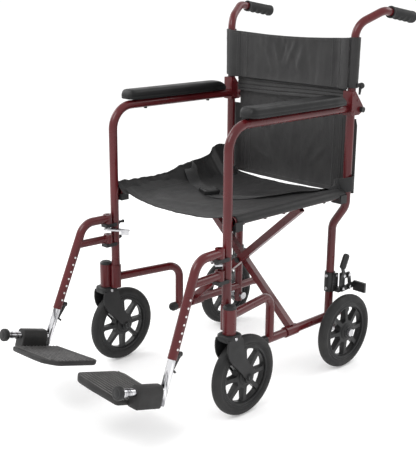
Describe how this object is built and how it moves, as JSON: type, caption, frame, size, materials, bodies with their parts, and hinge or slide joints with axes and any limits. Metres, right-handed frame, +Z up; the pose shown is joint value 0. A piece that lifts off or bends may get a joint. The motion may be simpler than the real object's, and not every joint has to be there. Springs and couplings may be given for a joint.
{
  "type": "transport wheelchair",
  "caption": "Folding transport chair with a cross-braced tube frame, small wheels, swing-away footrests, slung seat, half-folding back and push grips.",
  "frame": {"origin": "on the floor, under the middle of the overall box", "axes": "+Z up, -Y the way the chair faces, +X the seated person's left"},
  "size_m": [0.526, 0.9866, 0.9578],
  "materials": {
    "frame_paint": "deep red gloss",
    "black_plastic": "fine texture",
    "footplate_plastic": "ribbed",
    "wheel_plastic": "satin",
    "pad_skin": "moulded skin, satin",
    "black_steel": "satin",
    "bright_steel": "zinc plated",
    "chrome": "polished",
    "tyre": "smooth tread",
    "grip_rubber": "ribbed",
    "nylon": "coated weave",
    "webbing": "woven strap"
  },
  "bodies": {
    "left_frame": {"arm_frame_left": "frame_paint", "lower_frame_left": "frame_paint", "rear_post_left": "frame_paint", "frame_mouldings_left": "black_plastic", "arm_pad_left": "pad_skin", "frame_bolts_left": "black_steel", "hinge_bracket_left": "frame_paint", "rear_axle_left": "bright_steel", "lock_bracket_left": "black_steel", "back_panel_lower": "nylon"},
    "right_frame": {"arm_frame_right": "frame_paint", "lower_frame_right": "frame_paint", "rear_post_right": "frame_paint", "frame_mouldings_right": "black_plastic", "arm_pad_right": "pad_skin", "frame_bolts_right": "black_steel", "hinge_bracket_right": "frame_paint", "rear_axle_right": "bright_steel", "lock_bracket_right": "black_steel"},
    "brace_a": {"brace_a": "frame_paint", "brace_bolt": "black_steel", "seat_sling": "nylon", "seat_belt": "webbing", "belt_buckle": "black_plastic"},
    "brace_b": {"brace_b": "frame_paint"},
    "rear_wheel_left": {"rear_wheel_left": "wheel_plastic", "rear_tyre_left": "tyre"},
    "lock_lever_left": {"lock_lever_left": "black_steel"},
    "lock_shoe_left": {"lock_shoe_left": "black_steel"},
    "lock_link_left": {"lock_link_left": "black_steel"},
    "caster_fork_left": {"caster_fork_left": "black_plastic", "caster_axle_left": "bright_steel"},
    "caster_wheel_left": {"caster_wheel_left": "wheel_plastic", "caster_tyre_left": "tyre"},
    "hanger_left": {"hanger_left": "frame_paint", "height_clamp_left": "black_steel"},
    "release_lever_left": {"release_lever_left": "bright_steel"},
    "extension_left": {"extension_left": "chrome"},
    "footplate_left": {"footplate_left": "footplate_plastic"},
    "upper_cane_left": {"upper_cane_left": "frame_paint", "push_grip_left": "grip_rubber", "back_panel_upper": "nylon"},
    "back_latch_left": {"back_latch_left": "black_plastic"},
    "rear_wheel_right": {"rear_wheel_right": "wheel_plastic", "rear_tyre_right": "tyre"},
    "lock_lever_right": {"lock_lever_right": "black_steel"},
    "lock_shoe_right": {"lock_shoe_right": "black_steel"},
    "lock_link_right": {"lock_link_right": "black_steel"},
    "caster_fork_right": {"caster_fork_right": "black_plastic", "caster_axle_right": "bright_steel"},
    "caster_wheel_right": {"caster_wheel_right": "wheel_plastic", "caster_tyre_right": "tyre"},
    "hanger_right": {"hanger_right": "frame_paint", "height_clamp_right": "black_steel"},
    "release_lever_right": {"release_lever_right": "bright_steel"},
    "extension_right": {"extension_right": "chrome"},
    "footplate_right": {"footplate_right": "footplate_plastic"},
    "upper_cane_right": {"upper_cane_right": "frame_paint", "push_grip_right": "grip_rubber"},
    "back_latch_right": {"back_latch_right": "black_plastic"}
  },
  "joints": [
    {"name": "fold", "type": "hinge", "parent": "left_frame", "child": "brace_a", "pos_m": [0.171, 0.1345, 0.1305], "axis": [0, 1, 0], "range_deg": [0, 35], "deforming": ["seat_sling", "seat_belt", "belt_buckle", "back_panel_upper", "back_panel_lower"]},
    {"name": "brace_scissor", "type": "hinge", "parent": "brace_a", "child": "brace_b", "pos_m": [0, 0.1165, 0.2909], "axis": [0, -1, 0], "range_deg": [0, 70]},
    {"name": "right_side_fold", "type": "hinge", "parent": "brace_b", "child": "right_frame", "pos_m": [-0.171, 0.1165, 0.1305], "axis": [0, 1, 0], "range_deg": [0, 35]},
    {"name": "rear_wheel_spin_left", "type": "hinge", "parent": "left_frame", "child": "rear_wheel_left", "pos_m": [0.2245, 0.2961, 0.1016], "axis": [1, 0, 0], "continuous": true},
    {"name": "caster_swivel_left", "type": "hinge", "parent": "left_frame", "child": "caster_fork_left", "pos_m": [0.2315, -0.1585, 0.2525], "axis": [0, 0, 1], "continuous": true},
    {"name": "caster_spin_left", "type": "hinge", "parent": "caster_fork_left", "child": "caster_wheel_left", "pos_m": [0.2315, -0.1088, 0.1016], "axis": [1, 0, 0], "continuous": true},
    {"name": "wheel_lock_left", "type": "hinge", "parent": "left_frame", "child": "lock_lever_left", "pos_m": [0.203, 0.3155, 0.247], "axis": [-1, 0, 0], "range_deg": [0, 24]},
    {"name": "lock_shoe_left", "type": "hinge", "parent": "left_frame", "child": "lock_shoe_left", "pos_m": [0.203, 0.3125, 0.2105], "axis": [-1, 0, 0], "range_deg": [0, 14.88]},
    {"name": "lock_link_left", "type": "hinge", "parent": "lock_lever_left", "child": "lock_link_left", "pos_m": [0.2066, 0.3313, 0.2485], "axis": [1, 0, 0], "range_deg": [0, 24.72]},
    {"name": "hanger_swing_left", "type": "hinge", "parent": "left_frame", "child": "hanger_left", "pos_m": [0.207, -0.1685, 0.38875], "axis": [0, 0, 1], "range_deg": [0, 90]},
    {"name": "release_left", "type": "hinge", "parent": "hanger_left", "child": "release_lever_left", "pos_m": [0.207, -0.1685, 0.386], "axis": [0, 0, 1], "range_deg": [0, 12]},
    {"name": "footrest_height_left", "type": "slide", "parent": "hanger_left", "child": "extension_left", "axis": [0.0356, -0.3768, -0.9256], "range_m": [-0.035, 0.04]},
    {"name": "footplate_flip_left", "type": "hinge", "parent": "extension_left", "child": "footplate_left", "pos_m": [0.222, -0.35567, 0.137], "axis": [0, 0.9613, -0.2756], "range_deg": [0, 86]},
    {"name": "back_fold_left", "type": "hinge", "parent": "left_frame", "child": "upper_cane_left", "pos_m": [0.212, 0.3175, 0.702], "axis": [-1, 0, 0], "range_deg": [0, 165]},
    {"name": "back_latch_left", "type": "hinge", "parent": "upper_cane_left", "child": "back_latch_left", "pos_m": [0.229, 0.2965, 0.765], "axis": [1, 0, 0], "range_deg": [0, 20]},
    {"name": "rear_wheel_spin_right", "type": "hinge", "parent": "right_frame", "child": "rear_wheel_right", "pos_m": [-0.2245, 0.2961, 0.1016], "axis": [1, 0, 0], "continuous": true},
    {"name": "caster_swivel_right", "type": "hinge", "parent": "right_frame", "child": "caster_fork_right", "pos_m": [-0.2315, -0.1585, 0.2525], "axis": [0, 0, 1], "continuous": true},
    {"name": "caster_spin_right", "type": "hinge", "parent": "caster_fork_right", "child": "caster_wheel_right", "pos_m": [-0.2315, -0.1088, 0.1016], "axis": [1, 0, 0], "continuous": true},
    {"name": "wheel_lock_right", "type": "hinge", "parent": "right_frame", "child": "lock_lever_right", "pos_m": [-0.203, 0.3155, 0.247], "axis": [-1, 0, 0], "range_deg": [0, 24]},
    {"name": "lock_shoe_right", "type": "hinge", "parent": "right_frame", "child": "lock_shoe_right", "pos_m": [-0.203, 0.3125, 0.2105], "axis": [-1, 0, 0], "range_deg": [0, 14.88]},
    {"name": "lock_link_right", "type": "hinge", "parent": "lock_lever_right", "child": "lock_link_right", "pos_m": [-0.2066, 0.3313, 0.2485], "axis": [1, 0, 0], "range_deg": [0, 24.72]},
    {"name": "hanger_swing_right", "type": "hinge", "parent": "right_frame", "child": "hanger_right", "pos_m": [-0.207, -0.1685, 0.38875], "axis": [0, 0, -1], "range_deg": [0, 90]},
    {"name": "release_right", "type": "hinge", "parent": "hanger_right", "child": "release_lever_right", "pos_m": [-0.207, -0.1685, 0.386], "axis": [0, 0, -1], "range_deg": [0, 12]},
    {"name": "footrest_height_right", "type": "slide", "parent": "hanger_right", "child": "extension_right", "axis": [-0.0356, -0.3768, -0.9256], "range_m": [-0.035, 0.04]},
    {"name": "footplate_flip_right", "type": "hinge", "parent": "extension_right", "child": "footplate_right", "pos_m": [-0.222, -0.35567, 0.137], "axis": [0, -0.9613, 0.2756], "range_deg": [0, 86]},
    {"name": "back_fold_right", "type": "hinge", "parent": "right_frame", "child": "upper_cane_right", "pos_m": [-0.212, 0.3175, 0.702], "axis": [-1, 0, 0], "range_deg": [0, 165]},
    {"name": "back_latch_right", "type": "hinge", "parent": "upper_cane_right", "child": "back_latch_right", "pos_m": [-0.229, 0.2965, 0.765], "axis": [1, 0, 0], "range_deg": [0, 20]}
  ],
  "couplings": [
    {"joint": "brace_scissor", "follows": "fold", "ratio": 2},
    {"joint": "right_side_fold", "follows": "fold", "ratio": 1},
    {"joint": "lock_shoe_left", "follows": "wheel_lock_left", "ratio": 0.62},
    {"joint": "lock_link_left", "follows": "wheel_lock_left", "ratio": 1.03},
    {"joint": "footplate_flip_left", "follows": "fold", "ratio": 2.457},
    {"joint": "lock_shoe_right", "follows": "wheel_lock_right", "ratio": 0.62},
    {"joint": "lock_link_right", "follows": "wheel_lock_right", "ratio": 1.03},
    {"joint": "footplate_flip_right", "follows": "fold", "ratio": 2.457},
    {"joint": "back_fold_right", "follows": "back_fold_left", "ratio": 1}
  ]
}
